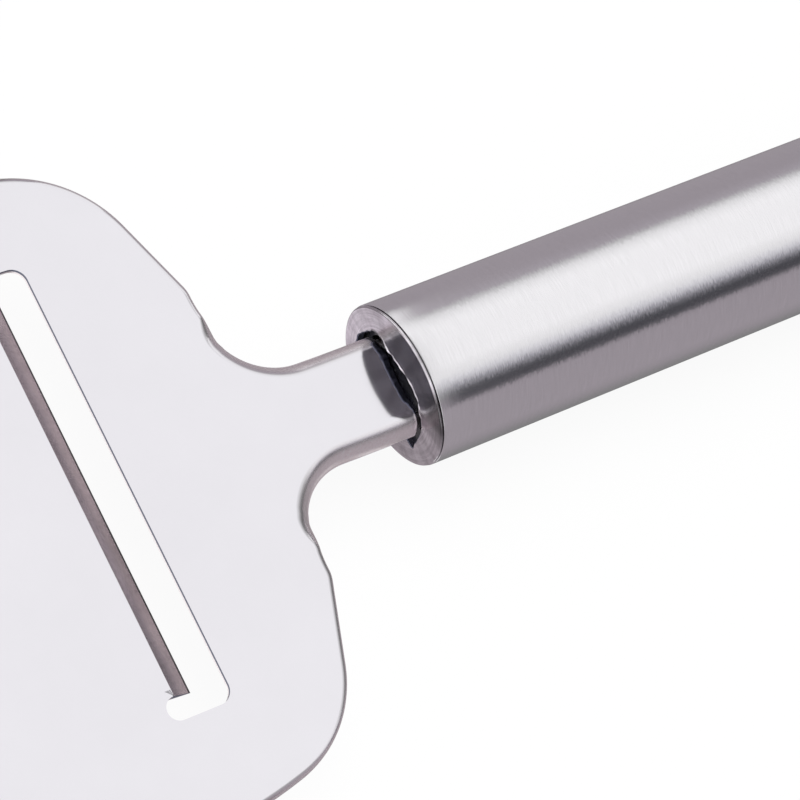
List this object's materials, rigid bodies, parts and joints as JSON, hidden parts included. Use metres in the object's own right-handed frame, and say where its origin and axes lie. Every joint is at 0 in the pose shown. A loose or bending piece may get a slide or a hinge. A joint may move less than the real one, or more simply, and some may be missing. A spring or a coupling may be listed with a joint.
{
  "type": "cheese slicer",
  "caption": "Cheese slicer: a flat steel blade head with a crosswise slot and a ground lip, on a round tubular handle with end caps and a hanging loop.",
  "frame": {"origin": "middle of the bounding box in X and Y, on the plane under the handle tube", "axes": "+X along the handle's axis towards the hanging loop, with the blade towards -X; +Z towards the side that faces up while slicing; +Y completes a right-handed frame"},
  "size_m": [0.2464, 0.08, 0.0219],
  "materials": {
    "head_steel": "satin sheet with a ground cutting lip",
    "cap_steel": "turned, with fine radial streaks",
    "handle_steel": "brushed round the tube",
    "core_plastic": "black, glossy",
    "loop_steel": "bright drawn wire"
  },
  "bodies": {
    "root": {"blade_head": "head_steel", "front_cap": "cap_steel", "handle_tube": "handle_steel", "tang_core": "core_plastic", "rear_cap": "cap_steel", "hanging_loop": "loop_steel"}
  },
  "joints": []
}
